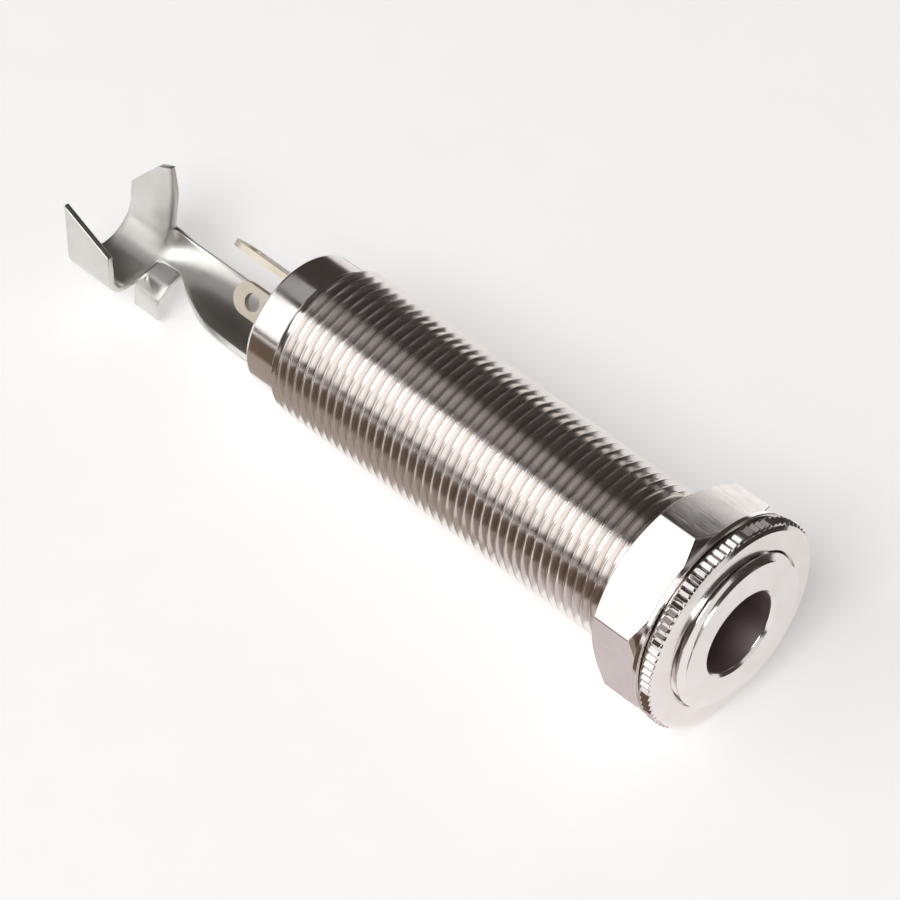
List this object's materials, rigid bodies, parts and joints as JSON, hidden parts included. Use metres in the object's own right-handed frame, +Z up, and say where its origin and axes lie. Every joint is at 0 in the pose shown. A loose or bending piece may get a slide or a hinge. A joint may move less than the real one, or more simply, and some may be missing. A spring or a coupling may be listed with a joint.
{
  "type": "quarter inch phone jack",
  "caption": "Long threaded barrel jack for a quarter inch three contact plug, with a knurled dress nut, washer, hex nut, solder lugs and a cable clamp.",
  "frame": {"origin": "centre of the plug hole's mouth, on the barrel's front face", "axes": "+X out of the plug hole along the barrel, +Z up, +Y to the left of someone looking along +X"},
  "size_m": [0.0619, 0.0162, 0.0164],
  "materials": {
    "barrel_nickel": "polished nickel plate",
    "nut_nickel": "polished nickel plate",
    "tinned_sheet": "bright tinned sheet",
    "spring_bronze": "satin spring bronze",
    "wafer_phenolic": "brown phenolic"
  },
  "bodies": {
    "barrel_assembly": {"barrel": "barrel_nickel", "front_wafer": "wafer_phenolic", "middle_wafer": "wafer_phenolic", "rear_wafer": "wafer_phenolic", "tip_terminal": "tinned_sheet", "ring_terminal": "tinned_sheet", "sleeve_terminal": "tinned_sheet"},
    "flat_washer": {"flat_washer": "nut_nickel"},
    "hex_nut": {"hex_nut": "nut_nickel"},
    "dress_nut": {"dress_nut": "nut_nickel"},
    "tip_spring": {"tip_spring": "spring_bronze"},
    "ring_spring": {"ring_spring": "spring_bronze"}
  },
  "joints": [
    {"name": "dress_nut_turn", "type": "hinge", "parent": "barrel_assembly", "child": "dress_nut", "pos_m": [-0.0014, 0, 0], "axis": [1, 0, 0], "continuous": true},
    {"name": "hex_nut_travel", "type": "slide", "parent": "barrel_assembly", "child": "flat_washer", "axis": [1, 0, 0], "range_m": [-0.032, 0]},
    {"name": "hex_nut_turn", "type": "hinge", "parent": "flat_washer", "child": "hex_nut", "pos_m": [-0.0049, 0, 0], "axis": [1, 0, 0], "range_deg": [-14515, 0]},
    {"name": "tip_spring_flex", "type": "hinge", "parent": "barrel_assembly", "child": "tip_spring", "pos_m": [-0.03983, 0.00286, 0.00258], "axis": [0, -0.6691, 0.7431], "range_deg": [0, 2.8], "stiffness_Nm_per_rad": 0.6},
    {"name": "ring_spring_flex", "type": "hinge", "parent": "barrel_assembly", "child": "ring_spring", "pos_m": [-0.03763, -0.00333, 0.00193], "axis": [0, -0.5, -0.866], "range_deg": [0, 2.2], "stiffness_Nm_per_rad": 0.9}
  ],
  "couplings": [
    {"joint": "hex_nut_turn", "follows": "hex_nut_travel", "rad_per_m": 7915.8}
  ]
}
